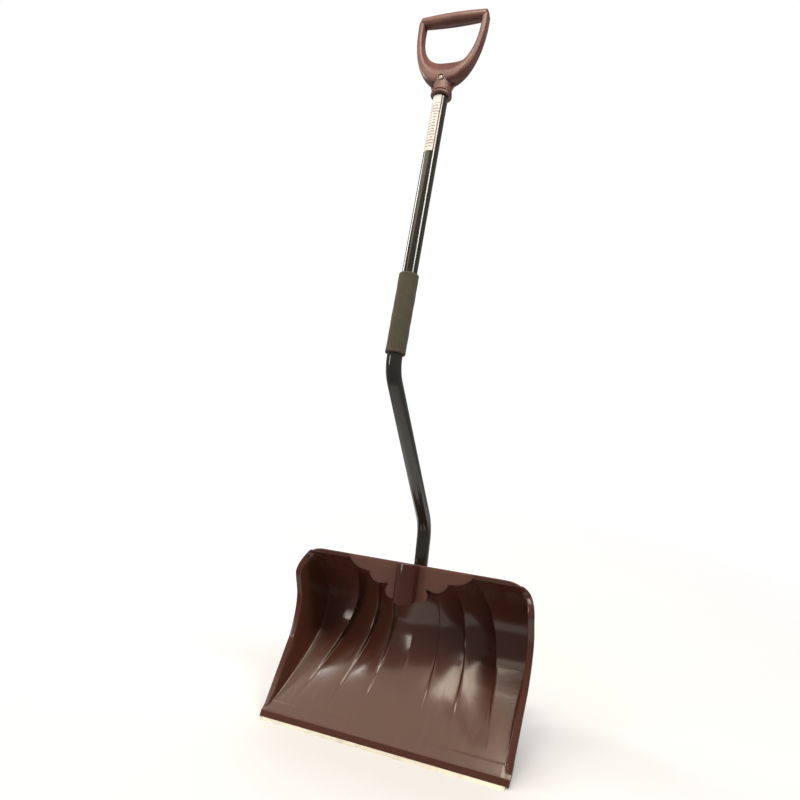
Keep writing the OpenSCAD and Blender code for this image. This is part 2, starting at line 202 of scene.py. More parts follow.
@dataclass(frozen=True)
class MouldedGloss:
    """Glossy moulded plastic with faint flow lines, scuffs and dust."""

    name: str = "scoop_plastic"
    base: Colour = (0.098, 0.032, 0.021)
    worn: Colour = (0.140, 0.060, 0.040)
    dust: Colour = (0.20, 0.15, 0.12)
    dust_limit: float = 0.765
    scuffed_m: float = 0.16
    roughness: float = 0.17
    peel_m: float = 0.00008

    def material(self) -> Material:
        """Builds the material."""
        g = Graph(self.name)
        cloud = g.noise(9.0, 4.0, 0.6)
        streak = g.noise(1.0, 5.0, 0.65, g.stretched((260.0, 9.0, 9.0)))
        low = g.over(1.0, g.axes()[2] / self.scuffed_m)
        scuff = g.capped(g.over(streak, 0.52) * 5.0, low)
        dust = g.noise(520.0, 2.0, 0.6) > self.dust_limit
        tone = g.blend(g.over(cloud, 0.35) * 0.5, self.base, self.worn)
        colour = g.blend(g.capped(scuff, 0.30), tone, self.worn)
        speck = g.blend(dust * 0.35, colour, self.dust)
        rough = self.roughness + (cloud - 0.5) * 0.10 + scuff * 0.14 + dust * 0.3
        peel = g.noise(140.0, 2.0, 0.5) * 0.8 + streak * 0.2
        return g.finish(Base_Color=speck, Roughness=rough, Specular_IOR_Level=0.5,
                        Coat_Weight=0.15, Coat_Roughness=0.08, Normal=g.bump(peel, self.peel_m))


@dataclass(frozen=True)
class StippledPlastic:
    """Sparked, half-matt moulded plastic of the raised plate."""

    name: str = "plate_plastic"
    base: Colour = (0.122, 0.046, 0.034)
    pale: Colour = (0.185, 0.078, 0.058)
    grain: float = 850.0

    def material(self) -> Material:
        """Builds the material."""
        g = Graph(self.name)
        grain = g.noise(self.grain, 3.0, 0.7)
        cloud = g.noise(26.0, 3.0, 0.6)
        colour = g.blend(g.capped(grain * cloud, 1.6), self.base, self.pale)
        return g.finish(Base_Color=colour, Roughness=0.36 + grain * 0.22,
                        Specular_IOR_Level=0.5, Normal=g.bump(grain, 0.0005, 0.7))


@dataclass(frozen=True)
class SatinPlastic:
    """Satin moulded plastic of the D-grip, paler where hands rub it."""

    name: str = "grip_plastic"
    base: Colour = (0.132, 0.044, 0.038)
    rubbed: Colour = (0.235, 0.112, 0.086)

    def material(self) -> Material:
        """Builds the material."""
        g = Graph(self.name)
        cloud = g.noise(34.0, 4.0, 0.6)
        grain = g.noise(1500.0, 2.0, 0.6)
        rub = g.over(cloud, 0.42)
        colour = g.blend(g.capped(rub, 2.2), self.base, self.rubbed)
        return g.finish(Base_Color=colour, Roughness=0.24 + grain * 0.16 + (cloud - 0.5) * 0.10,
                        Specular_IOR_Level=0.55, Coat_Weight=0.15, Coat_Roughness=0.2,
                        Normal=g.bump(grain * 0.6 + cloud * 0.4, 0.00036))


@dataclass(frozen=True)
class GlossPaint:
    """Gloss black paint on drawn steel tube, with faint scuffs along it."""

    name: str = "tube_paint"
    base: Colour = (0.024, 0.022, 0.015)
    scuffed: Colour = (0.050, 0.046, 0.034)

    def material(self) -> Material:
        """Builds the material."""
        g = Graph(self.name)
        scuff = g.noise(1.0, 6.0, 0.7, g.stretched((240.0, 240.0, 14.0)))
        mask = g.over(scuff, 0.55)
        colour = g.blend(g.capped(mask, 3.0), self.base, self.scuffed)
        return g.finish(Base_Color=colour, Roughness=0.13 + mask * 0.8, Specular_IOR_Level=0.6,
                        Coat_Weight=0.6, Coat_Roughness=0.06,
                        Normal=g.bump(g.noise(90.0, 2.0), 0.00010))


@dataclass(frozen=True)
class CellFoam:
    """Closed-cell foam with a skin of fine pores."""

    name: str = "foam"
    base: Colour = (0.080, 0.070, 0.046)
    pale: Colour = (0.122, 0.106, 0.074)

    def material(self) -> Material:
        """Builds the material."""
        g = Graph(self.name)
        cell = g.wire(g.node("ShaderNodeTexVoronoi", {"feature": "F1"},
                             {"Vector": g.place(), "Scale": 1500.0}), 0)
        grain = g.noise(620.0, 4.0, 0.7)
        cloud = g.noise(24.0, 4.0, 0.6)
        colour = g.blend(g.capped(grain * 0.7 + cloud * 0.5, 0.8), self.base, self.pale)
        return g.finish(Base_Color=colour, Roughness=0.78 + grain * 0.15, Specular_IOR_Level=0.28,
                        Sheen_Weight=0.10, Normal=g.bump(cell * 0.5 + grain * 0.5, 0.0007, 0.7))


@dataclass(frozen=True)
class WornZinc:
    """Galvanised steel with spangle, brushed and stained near its front."""

    name: str = "strip_steel"
    base: Colour = (0.56, 0.55, 0.49)
    dull: Colour = (0.42, 0.40, 0.32)
    roughness: float = 0.34
    spangle: float = 130.0
    bright_m: float = 0.010

    def material(self) -> Material:
        """Builds the material."""
        g = Graph(self.name)
        spangle = g.wire(g.node("ShaderNodeTexVoronoi", {"feature": "F1"},
                                {"Vector": g.place(), "Scale": self.spangle}), 1)
        grey = g.wire(g.node("ShaderNodeRGBToBW", inputs={0: spangle}))
        brush = g.noise(1.0, 4.0, 0.6, g.stretched((6.0, 900.0, 900.0)))
        stain = g.over(g.noise(38.0, 5.0, 0.65), 0.50)
        front = g.over(1.0, g.axes()[1] / self.bright_m)
        mask = g.over(grey * 0.25 + brush * 0.35 + stain * 2.0, front * 0.3)
        return g.finish(Base_Color=g.blend(mask, self.base, self.dull), Metallic=1.0,
                        Roughness=self.roughness + brush * 0.16 + stain * 0.6,
                        Normal=g.bump(brush, 0.00012))


@dataclass(frozen=True)
class PlatedSteel:
    """Bright plated or plain metal of a screw or rivet."""

    name: str
    base: Colour = (0.78, 0.76, 0.72)
    roughness: float = 0.24
    dull: Colour = (0.35, 0.32, 0.27)

    def material(self) -> Material:
        """Builds the material."""
        g = Graph(self.name)
        grain = g.noise(900.0, 3.0, 0.6)
        dull = g.blend(g.over(grain, 0.45), self.base, self.dull)
        return g.finish(Base_Color=dull, Metallic=1.0, Roughness=self.roughness + grain * 0.15,
                        Normal=g.bump(grain, 0.00008))


@dataclass(frozen=True)
class PrintedPaper:
    """Label paper with a reddish-brown band down one side and two columns of plain printed bars."""

    foot: tuple[float, float]
    lean: float
    length_m: float
    name: str = "label_paper"
    paper: Colour = (0.88, 0.87, 0.86)
    ink: Colour = (0.13, 0.035, 0.035)
    side_band: Colour = (0.32, 0.115, 0.090)
    pitch_m: float = 0.0056
    bar_span: Span = (0.30, 0.32)
    blank_m: Span = (0.006, 0.016)
    columns: Span = (-0.62, 0.06)
    side_band_turn: float = 0.50
    scatter: float = 43.7585

    def material(self) -> Material:
        """Builds the material; bars are placed by height along the tube and angle round it, and
        their widths come from a scattered sine of the row's number."""
        g = Graph(self.name)
        x, y, z = g.axes()
        s, c = math.sin(self.lean), math.cos(self.lean)
        back = (y - self.foot[0]) * c - (z - self.foot[1]) * s
        up = (y - self.foot[0]) * s + (z - self.foot[1]) * c
        turn = g.math("ARCTAN2", x, back * -1.0)
        row = up / self.pitch_m
        step = g.math("FLOOR", row)
        part = g.math("FRACT", row)
        grit = g.noise(1.0, 0.0, 0.0, g.stretched((90.0, 90.0, 1.0)))
        wide = g.math("FRACT", g.math("SINE", step * 12.9898) * self.scatter)
        left = self.bar(g, turn, self.columns[0], wide * 0.26 + 0.10)
        right = self.bar(g, turn, self.columns[1], g.math("FRACT", wide * 7.31) * 0.30 + 0.14)
        line = (part > self.bar_span[0]) * (part < sum(self.bar_span))
        body = (up > self.blank_m[0]) * (up < self.length_m - self.blank_m[1])
        print_mask = g.math("MAXIMUM", left, right) * line * body
        # A reddish-brown band down one side of the label, past an angle round the tube from its front
        # towards +X.
        tone = g.blend(turn > self.side_band_turn, self.paper, self.side_band)
        colour = g.blend(print_mask * (grit * 0.3 + 0.65), tone, self.ink)
        return g.finish(Base_Color=colour, Roughness=0.42 + grit * 0.1, Specular_IOR_Level=0.4,
                        Normal=g.bump(g.noise(900.0, 2.0), 0.00004))

    @staticmethod
    def bar(g: Graph, turn: Wire, middle: float, half: Wire) -> Wire:
        """1 where the angle is within half of the middle."""
        return g.math("ABSOLUTE", turn - middle) < half


@dataclass(frozen=True)
class PaleFloor:
    """Plain, nearly white studio floor that fades out away from its middle."""

    name: str = "floor"
    base: Colour = (0.90, 0.92, 0.95)
    cloudy: Colour = (0.85, 0.87, 0.90)
    middle: tuple[float, float] = (0.0, 0.35)
    solid_m: float = 0.36
    clear_m: float = 1.0

    def material(self) -> Material:
        """Builds the material."""
        g = Graph(self.name)
        x, y, _ = g.axes()
        square = [g.math("POWER", at - middle, 2.0) for at, middle in zip((x, y), self.middle)]
        left = (self.clear_m - g.math("SQRT", square[0] + square[1])) / (self.clear_m - self.solid_m)
        fade = g.math("SMOOTH_MIN", left, 1.0, 0.3, clamp=True)
        tint = g.blend(g.noise(3.0, 2.0) * 0.15, self.base, self.cloudy)
        return g.finish(Base_Color=tint, Roughness=0.75, Specular_IOR_Level=0.2, Alpha=fade)


class Slot(Enum):
    """Material slots of the record, passed to make_piece, which does not use them."""

    SCOOP = "scoop_plastic"
    TUBE = "tube_paint"
    FOAM = "foam"
    GRIP = "grip_plastic"


# ---- mesh helpers


def ramp(t: Array | float) -> Array:
    """Smooth step: 0 below 0, 1 above 1, and t squared times (3 - 2t) between."""
    c = np.clip(t, 0.0, 1.0)
    return c * c * (3.0 - 2.0 * c)


def ease(t: Array, span: Span) -> Array:
    """Smooth step over a span."""
    return ramp((t - span[0]) / span[1])


def signed_power(v: Array, e: float) -> Array:
    """The size of v raised to e, with v's sign."""
    return np.sign(v) * np.abs(v) ** e


def breaks(*runs: tuple[float, float, int]) -> Array:
    """Joins even runs of numbers, each given as (from, to, parts), without repeats."""
    parts = [np.linspace(a, b, n, endpoint=False) for a, b, n in runs]
    return np.concatenate([*parts, [runs[-1][1]]])


def full_turn(parts: int) -> Array:
    """Evenly spaced angles once round, in radians."""
    return np.linspace(0.0, 2.0 * np.pi, parts, endpoint=False)


def sin_cos(degrees: float) -> tuple[float, float]:
    """Sine and cosine of an angle in degrees."""
    return math.sin(math.radians(degrees)), math.cos(math.radians(degrees))


def grid_quads(rows: int, cols: int, wrap: bool = False, start: int = 0) -> Array:
    """Quads of a grid of points, stored row by row.

    Args:
        rows: Number of rows.
        cols: Number of columns.
        wrap: Whether the last column joins the first.
        start: Number of the grid's first point.

    Returns:
        One row of four point numbers for each quad.
    """
    across = cols if wrap else cols - 1
    r, c = np.meshgrid(np.arange(rows - 1), np.arange(across), indexing="ij")
    a, b = r * cols + c, r * cols + (c + 1) % cols
    return start + np.stack([a, b, b + cols, a + cols], axis=-1).reshape(-1, 4)


def closed_rings(rings: Array) -> Skin:
    """A closed skin through rings of points, with a fan of triangles on each end.

    Args:
        rings: Points as (ring, place, xyz), in millimetres.

    Returns:
        The points, with the middles of the two ends last, and the faces.
    """
    n, m = rings.shape[:2]
    ends = np.stack([rings[0].mean(axis=0), rings[-1].mean(axis=0)])
    k = np.arange(m)
    nxt = (k + 1) % m
    first = np.stack([np.full(m, n * m), nxt, k], axis=-1)
    last = np.stack([np.full(m, n * m + 1), (n - 1) * m + k, (n - 1) * m + nxt], axis=-1)
    faces = grid_quads(n, m, wrap=True).tolist() + first.tolist() + last.tolist()
    return np.concatenate([rings.reshape(-1, 3), ends]), faces


def add_object(name: str, data: Any) -> bpy.types.Object:
    """Adds an object with the given mesh, light or camera to the scene.

    Args:
        name: The object's name.
        data: Its mesh, light or camera.

    Returns:
        The object, at the origin.
    """
    made = bpy.data.objects.new(name, data)
    bpy.context.scene.collection.objects.link(made)
    return made


def make_piece(name: str, shells: Sequence[Skin], finish: Material, slot: Slot, *stands_for: str,
               sharp: float = 38.0, weld_m: float = 2e-6) -> bpy.types.Object:
    """Puts closed shells into one mesh with outward faces, riding on the shovel.

    Args:
        name: The piece's name.
        shells: The closed skins that make it up.
        finish: The material.
        slot: Its material slot; not used.
        *stands_for: CAD nodes it replaces.
        sharp: Edges steeper than this many degrees stay sharp.
        weld_m: Points closer than this become one.

    Returns:
        The new object, at the origin.
    """
    counts = np.cumsum([0] + [len(points) for points, _ in shells])
    points = np.concatenate([p for p, _ in shells]) * MM
    faces = [[v + int(first) for v in face] for (_, own), first in zip(shells, counts) for face in own]
    mesh = bpy.data.meshes.new(name)
    mesh.from_pydata(points.tolist(), [], faces)
    work = bmesh.new()
    work.from_mesh(mesh)
    bmesh.ops.remove_doubles(work, verts=work.verts, dist=weld_m)
    bmesh.ops.recalc_face_normals(work, faces=work.faces)
    work.to_mesh(mesh)
    work.free()
    mesh.shade_smooth()
    mesh.set_sharp_from_angle(angle=math.radians(sharp))
    mesh.materials.append(finish)
    log.info("%s: %d points, %d faces", name, len(mesh.vertices), len(mesh.polygons))
    piece = add_object(name, mesh)
    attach(piece, "root")
    if stands_for:
        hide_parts(*stands_for)
    return piece


@dataclass(frozen=True)
class Stretch:
    """A straight stretch of the handle, from a foot (y, z) in millimetres, leaning back in degrees."""

    foot: tuple[float, float]
    lean: float

    def put(self, across: Array, back: Array, up: Array) -> Array:
        """Points on the stretch: its foot, moved up along it, back square to it, and across.

        Args:
            across: Distances along X.
            back: Distances behind the stretch's middle line.
            up: Distances along the stretch.

        Returns:
            The points.
        """
        s, c = sin_cos(self.lean)
        x, v, w = np.broadcast_arrays(across, back, up)
        return np.stack([x, self.foot[0] + v * c + w * s, self.foot[1] - v * s + w * c], axis=-1)

    def at(self, up: float) -> tuple[float, float]:
        """The point (y, z) a distance along the stretch."""
        s, c = sin_cos(self.lean)
        return self.foot[0] + up * s, self.foot[1] + up * c

    def lathe(self, profile: Sequence[tuple[float, float]], sides: int = 96) -> Skin:
        """Turns a profile round the stretch.

        Args:
            profile: The profile's (radius, up) points.
            sides: Points round each ring.

        Returns:
            A closed skin.
        """
        r, up = np.array(profile, dtype=float).T
        turn = full_turn(sides)
        rings = self.put(r[:, None] * np.cos(turn), r[:, None] * np.sin(turn), up[:, None])
        return closed_rings(rings)


def rounded(profile: Sequence[tuple[float, float, float]], steps: int = 5) -> list[tuple[float, float]]:
    """Rounds a profile's corners.

    Args:
        profile: Corners as (radius, up, rounding).
        steps: Points on each rounding.

    Returns:
        The profile, each corner cut off by a curve: a quadratic one from the rounding's start,
        towards the corner, to its end.
    """
    out: list[tuple[float, float]] = []
    pts = np.array([p[:2] for p in profile], dtype=float)
    for i, (r, up, cut) in enumerate(profile):
        if cut <= 0.0 or i in (0, len(profile) - 1):
            out.append((r, up))
            continue
        here, before, after = pts[i], pts[i - 1], pts[i + 1]
        a = here + (before - here) * min(0.5, cut / np.linalg.norm(before - here))
        b = here + (after - here) * min(0.5, cut / np.linalg.norm(after - here))
        t = np.linspace(0.0, 1.0, steps)[:, None]
        out += [tuple(p) for p in (1 - t) ** 2 * a + 2 * t * (1 - t) * here + t * t * b]
    return out


# ---- the scoop


@dataclass
class Scoop:
    """The moulded scoop: a curved, ribbed shell with a flanged rim and a blunt lip.

    Sizes are in millimetres. Heights are measured from the lip's lower edge, and depths from its
    front, backwards. The three crests on each side divide the floor into panels.
    """

    edge_y: float
    edge_z: float
    width: float
    height: float
    corner_r: float = 52.0
    hollow_d: float = 160.0
    hollow_z: float = 150.0
    hollow_power: float = 1.85
    rim_d: float = 139.0
    flange_w: float = 10.0
    top_flange: float = 7.0
    wall_w: float = 15.0
    lip_h: float = 8.0
    lip_lean: float = 3.0
    crest_x: tuple[float, ...] = (48.0, 89.0, 139.0)
    crest_y: tuple[float, ...] = (7.0, 27.0, 40.0)
    step_h: tuple[float, ...] = (7.0, 10.0, 16.0)
    crest_fan: tuple[float, ...] = (0.2, 0.68, 1.0)
    crest_top: float = 215.0
    fan_slope: float = 0.2
    fan_curve: float = 0.0011
    step_w: float = 5.0
    panel_end: float = 5.0
    panel_z: Span = (15.0, 100.0)
    trough_low_z: Span = (22.0, 85.0)
    trough_high_z: Span = (190.0, 55.0)
    trough_power: float = 1.7
    rim_slope: float = 0.94
    rim_knee: float = 104.0
    rim_bend_r: float = 113.0
    rim_top_fwd: float = 3.0
    rim_fwd_z: Span = (180.0, 40.0)
    rim_back_z: Span = (228.0, 41.0)
    lip_flange: float = 0.5
    flange_z: Span = (0.0, 30.0)
    lip_wall: float = 0.35
    wall_z: Span = (8.0, 65.0)
    wall_t: float = 3.0
    pad_t: float = 5.6
    pad_z: Span = (21.0, 6.0)
    strip_slope: float = 26.0
    edge_round: float = 1.3
    round_z: Span = (4.0, 8.0)
    land_low_z: Span = (8.2, 1.2)
    land_high_z: Span = (17.0, 1.0)
    land_t: float = 0.35
    lip_drop: float = 3.0
    half: float = field(init=False)

    def __post_init__(self) -> None:
        """Works out the half width."""
        self.half = self.width / 2.0

    def rim_depth(self, z: Array) -> Array:
        """Depth of the side rim: a straight slope, a round bend, then nearly upright.

        Args:
            z: Heights.

        Returns:
            Depths.
        """
        lean = math.atan(self.rim_slope)
        knee = self.rim_slope * self.rim_knee
        a = np.clip((z - self.rim_knee) / self.rim_bend_r, 0.0, math.sin(lean))
        bend = self.rim_bend_r * (np.cos(lean - np.arcsin(a)) - math.cos(lean))
        back = self.rim_d - knee - self.rim_bend_r * (1.0 - math.cos(lean)) + self.rim_top_fwd
        upper = knee + bend - self.rim_top_fwd * ease(z, self.rim_fwd_z) + back * ease(z, self.rim_back_z)
        return np.where(z < self.rim_knee, self.rim_slope * z, upper)

    def hollow(self, z: Array) -> Array:
        """Depth of the floor at the middle: 1 less a falling power of the height."""
        t = np.clip((z - self.lip_h) / (self.hollow_z - self.lip_h), 0.0, 1.0)
        return np.where(z < self.lip_h, self.lip_lean * z / self.lip_h,
                        self.lip_lean + self.hollow_d * (1.0 - (1.0 - t) ** self.hollow_power))

    def crest(self, i: int, z: Array) -> Array:
        """Distance of a crest line from the middle; the lines fan out towards the lip.

        Args:
            i: The crest's number, from the middle.
            z: Heights.

        Returns:
            Distances: a slope below crest_top, with a square added below the hollow's top.
        """
        fall = self.hollow_z - np.minimum(z, self.crest_top)
        spread = self.fan_slope * fall + self.fan_curve * np.maximum(fall, 0.0) ** 2
        return self.crest_x[i] + self.crest_fan[i] * spread

    def floor(self, x: Array, z: Array) -> Array:
        """Depth of the floor: the hollow, straight panels between crests, and rounded troughs.

        A trough deepens as a power of the way across its panel, and steps back up at its crest.

        Args:
            x: Places across.
            z: Heights.

        Returns:
            Depths.
        """
        ax = np.abs(x)
        base_x = self.half - self.flange_w - self.wall_w
        starts = [np.zeros_like(z)] + [self.crest(i, z) for i in range(3)]
        ends = [*starts[1:], np.full_like(z, base_x)]
        depths = (0.0, *self.crest_y, self.crest_y[2] + self.panel_end)
        panel = np.full_like(ax, depths[-1])
        trough = np.zeros_like(ax)
        for i, (a, b) in enumerate(zip(starts, ends)):
            here = (ax >= a) & (ax <= b)
            t = (ax - a) / np.maximum(b - a, 1e-6)
            panel = np.where(here, depths[i] + (depths[i + 1] - depths[i]) * t, panel)
            if i < 3:
                run = np.clip((ax - a) / (b - self.step_w - a), 0.0, 1.0)
                end = 1.0 - ramp((ax - b + self.step_w) / self.step_w)
                trough = np.where(here, self.step_h[i] * run ** self.trough_power * end, trough)
        fade = ease(z, self.trough_low_z) * (1.0 - ease(z, self.trough_high_z))
        return self.hollow(z) + panel * ease(z, self.panel_z) + trough * fade

    def depth(self, x: Array, z: Array, side: Array, turn: Array) -> Array:
        """Depth of the front: the floor, curled forward at the top and joined to the rim at the sides.

        Args:
            x: Places across.
            z: Heights.
            side: Distances in from the rim.
            turn: 0 along the side, 1 along the top.

        Returns:
            Depths.
        """
        t = np.clip((z - self.hollow_z) / (self.height - self.top_flange - self.hollow_z), 0.0, 1.0)
        base = self.rim_d + (self.floor(x, z) - self.rim_d) * (1.0 - t * t)
        rim = np.minimum(self.rim_depth(z), base)
        narrow = self.lip_wall + (1.0 - self.lip_wall) * ease(z, self.wall_z)
        flange = self.flange_w * (self.lip_flange + (1.0 - self.lip_flange) * ease(z, self.flange_z))
        wall = ramp((side - flange) / (self.wall_w * narrow))
        return rim + (base - rim) * (wall + (1.0 - wall) * ramp(turn))

    def outline(self, d: Array, e: Array) -> tuple[Array, Array, Array, Array]:
        """Place on the outline's grid, d in from the side and e down from the top.

        In the corners the grid lines turn with the corner's radius.

        Args:
            d: Distances in from the side.
            e: Distances down from the top.

        Returns:
            Across, up, the distance in from the rim, and the turn from side to top.
        """
        near = np.minimum(d, e)
        r = self.corner_r - near
        turn = 45.0 * (1.0 + np.where(r > 1e-3, (d - e) / np.maximum(r, 1e-3), 0.0))
        corner = (d < self.corner_r) & (e < self.corner_r)
        a = np.radians(turn)
        x = np.where(corner, self.half - self.corner_r + r * np.cos(a), self.half - d)
        z = np.where(corner, self.height - self.corner_r + r * np.sin(a), self.height - e)
        return (x, z, np.where(corner, near, d),
                np.where(corner, turn / 90.0, np.where(e < self.corner_r, 1.0, 0.0)))

    def grid(self) -> tuple[Array, Array]:
        """The outline's grid; columns follow the crest lines, and rows gather at the rim and the lip.

        Returns:
            Distances in from the side and down from the top.
        """
        edge, nose, land_end = 1.2, 0.8, 26.0
        above, below = self.lip_h + 0.3, self.lip_h - 0.3
        levels = (0.0, edge, self.top_flange, self.corner_r, self.height - land_end,
                  self.height - above, self.height - below, self.height - nose, self.height)
        e = breaks(*zip(levels, levels[1:], (4, 6, 22, 84, 20, 3, 6, 3)))
        z = self.height - e
        flat = np.ones_like(z)
        stops = [self.half * flat, (self.half - edge) * flat, (self.half - self.flange_w) * flat,
                 (self.half - self.flange_w - self.wall_w - 1.0) * flat]
        for i in (2, 1, 0):
            stops += [self.crest(i, z), self.crest(i, z) - self.step_w]
        stops.append(0.0 * z)
        parts = (4, 5, 16, 16, 8, 20, 8, 16, 8, 16)
        runs = [a[:, None] + (b - a)[:, None] * np.linspace(0, 1, n, endpoint=False)
                for a, b, n in zip(stops, stops[1:], parts)]
        across = np.concatenate([*runs, 0.0 * z[:, None]], axis=1)
        return self.half - across, np.broadcast_to(e[:, None], across.shape)

    def front(self, d: Array, e: Array) -> Array:
        """Points of the front surface, before the rim's edge is rounded."""
        x, z, side, turn = self.outline(d, e)
        return np.stack([x, self.depth(x, z, side, turn), z], axis=-1)

    def shell(self) -> Skin:
        """The whole closed shell: the front, and a back set off from it along its normals.

        Normals are cross products of differences taken a short reach each way along the grid.
        """
        d, e = self.grid()
        front = self.front(d, e)
        reach = 0.6
        across = self.front(np.maximum(d - reach, 0.0), e) - self.front(np.minimum(d + reach, self.half), e)
        down = self.front(d, np.maximum(e - reach, 0.0)) - self.front(d, np.minimum(e + reach, self.height))
        normal = np.cross(down, across)
        normal /= np.linalg.norm(normal, axis=-1, keepdims=True)
        z = front[..., 2]
        thick = self.pad_t + (self.wall_t - self.pad_t) * ease(z, self.pad_z)
        taper = ramp(z / self.lip_h)[..., None]
        s = math.radians(self.strip_slope)
        along = np.array([0.0, math.cos(s), math.sin(s)])
        back = front + (1.0 - taper) * along + taper * normal * thick[..., None]
        back[:, -1, 0] = 0.0
        side = self.outline(d, e)[2]
        edge = np.clip(1.0 - np.minimum(side, np.minimum(e, d)) / self.edge_round, 0.0, 1.0)
        front[..., 1] += self.edge_round * (1.0 - np.sqrt(1.0 - edge ** 2)) * ease(z, self.round_z)
        land = ease(z, self.land_low_z) * (1.0 - ease(z, self.land_high_z))
        droop = self.lip_drop * (1.0 - np.clip(z / self.lip_h, 0.0, 1.0))[..., None] * along
        front, back = front - droop, back - droop
        front[..., 2] += self.land_t * land * ease(side, (self.flange_w, 6.0))
        mirror = np.array([-1.0, 1.0, 1.0])
        sides = [np.concatenate([g, g[:, -2::-1] * mirror], axis=1) for g in (front, back)]
        rows, cols = sides[0].shape[:2]
        n = rows * cols
        loop = np.concatenate([np.arange(cols), np.arange(1, rows) * cols + cols - 1,
                               (rows - 1) * cols + np.arange(cols - 2, -1, -1),
                               np.arange(rows - 2, 0, -1) * cols])
        nxt = np.roll(loop, -1)
        rim = np.stack([loop, nxt, nxt + n, loop + n], axis=-1)
        faces = np.concatenate([grid_quads(rows, cols), grid_quads(rows, cols, start=n)[:, ::-1], rim])
        place = np.array([0.0, self.edge_y, self.edge_z])
        return np.concatenate([g.reshape(-1, 3) for g in sides]) + place, faces.tolist()

    def build(self) -> None:
        """Makes the shell."""
        make_piece("scoop_shell", [self.shell()], MouldedGloss().material(), Slot.SCOOP, "blade", sharp=32.0)


@dataclass
class SocketPlate:
    """The raised, lobed plate under the rim, with the half-round bump over the socket.

    Sizes are in millimetres and degrees. Lobes are circles: across, down from the rim, radius.
    """

    scoop: Scoop
    lean: float = 18.0
    centre: float = 26.0
    top: float = -0.6
    lobes: tuple[Point, ...] = ((85.0, -19.0, 41.5), (54.0, 19.0, 22.5), (27.0, 51.0, 13.0))
    waist_r: float = 40.0
    edge_r: float = 1.5
    sunk: float = 1.4
    bump_r: float = 20.5
    bump_l: float = 63.0
    bump_cut: float = 6.0
    bump_out: float = 4.0
    bump_round: float = 1.6

    def put(self, across: Array, out: Array, down: Array) -> Array:
        """Points on the plate's slope.

        Args:
            across: Distances along X.
            out: Distances forward, square to the plate's face.
            down: Distances down its slope from the rim.

        Returns:
            The points.
        """
        s, c = sin_cos(self.lean)
        x, o, w = np.broadcast_arrays(across, out, down)
        rim_y, rim_z = self.scoop.edge_y + self.scoop.rim_d, self.scoop.edge_z + self.scoop.height
        return np.stack([x, rim_y - o * c - w * s, rim_z + o * s - w * c], axis=-1)

    def reach(self, turn: Array) -> Array:
        """Distance from the plate's middle to its edge: the farthest crossing of the circles it is
        made of, cut off by the rim.

        Args:
            turn: Angles round the middle.

        Returns:
            Distances.
        """
        u = np.stack([np.cos(turn), np.sin(turn)])
        far = np.zeros_like(turn)
        circles = [(s * x, y, r) for x, y, r in self.lobes for s in (-1.0, 1.0)]
        for x, y, r in [*circles, (0.0, self.centre, self.waist_r)]:
            cx, cy = x, y - self.centre
            along = u[0] * cx + u[1] * cy
            gap = r * r - cx * cx - cy * cy + along ** 2
            hit = along + np.sqrt(np.maximum(gap, 0.0))
            far = np.where(gap > 0.0, np.maximum(far, hit), far)
        drop = self.centre - self.top
        top = np.where(u[1] < -1e-6, drop / np.maximum(-u[1], 1e-6), np.inf)
        return np.minimum(far, top)

    def plate(self) -> Skin:
        """Closed plate: rings grow from the middle to the edge on its face, round over the edge, and
        run back as its wall into the scoop's own wall, which the underside follows."""
        turn = full_turn(1200)
        reach = self.reach(turn)
        bevel = np.radians(np.linspace(0.0, 90.0, 6))
        under = np.array([1.0, 0.9, 0.75, 0.6, 0.45, 0.3, 0.15, 0.02])
        n = len(under)
        inset = self.edge_r * np.concatenate([np.ones(3), 1.0 - np.sin(bevel), np.zeros(n + 1)])
        out = self.edge_r * np.concatenate([np.zeros(3), np.cos(bevel) - 1.0, -np.ones(n + 1)])
        share = np.concatenate([[0.02, 0.4, 0.8], np.ones(7), under])
        r = share[:, None] * (reach[None, :] - inset[:, None])
        rings = self.put(r * np.cos(turn), out[:, None], self.centre + r * np.sin(turn))
        x = rings[-n:, :, 0]
        z = np.clip(rings[-n:, :, 2] - self.scoop.edge_z, 0.0, self.scoop.height - 0.5)
        away = np.full_like(x, self.scoop.corner_r)
        sunk = np.where(under < 1.0, self.sunk / 3.0, self.sunk)[:, None]
        wall = self.scoop.edge_y + self.scoop.depth(x, z, away, np.zeros_like(x)) + sunk
        deep = np.maximum(wall, rings[-n:, :, 1] + 0.2)
        rings[-n - 1, :, 1] += 0.5 * (deep[0] - rings[-n, :, 1])
        rings[-n:, :, 1] = deep
        return closed_rings(rings)

    def bump(self) -> Skin:
        """Closed half-round bump: a D-shaped ring carried down the slope, cut off aslant and rounded
        at its end, lowest in front."""
        turn = np.linspace(0.0, np.pi, 61)
        flat = np.linspace(-1.0, 1.0, 13)[1:-1]
        x = np.concatenate([np.cos(turn), flat])
        out = np.concatenate([np.sin(turn), np.full_like(flat, -0.1)])
        bend = np.radians(np.linspace(0.0, 90.0, 7))
        end = self.bump_round
        size = self.bump_r + np.concatenate([[-0.7, -0.2, 0.0, 0.0, 0.0], -end * (1.0 - np.cos(bend))])
        share = np.concatenate([[0.0, 0.0, 0.0, 0.3, 0.7], np.ones(7)])
        fall = np.concatenate([[-0.4, -0.1, 0.6, 0.6, 0.0], end * (np.sin(bend) - 1.0)])
        length = self.bump_l + self.bump_cut * np.maximum(out, 0.0)
        down = share[:, None] * length + fall[:, None]
        return closed_rings(self.put(size[:, None] * x, self.bump_out + size[:, None] * out, down))

    def build(self) -> None:
        """Makes the plate and the bump."""
        make_piece("socket_plate", [self.plate()], StippledPlastic().material(), Slot.SCOOP, sharp=50.0)
        # The bump gets a darker copy of the scoop plastic. It is the same moulded plastic, so the darker
        # colour is painted shade on the bump.
        bump = MouldedGloss(name="bump_plastic_painted_shade", base=(0.070, 0.018, 0.013), roughness=0.16)
        make_piece("socket_bump", [self.bump()], bump.material(), Slot.SCOOP)


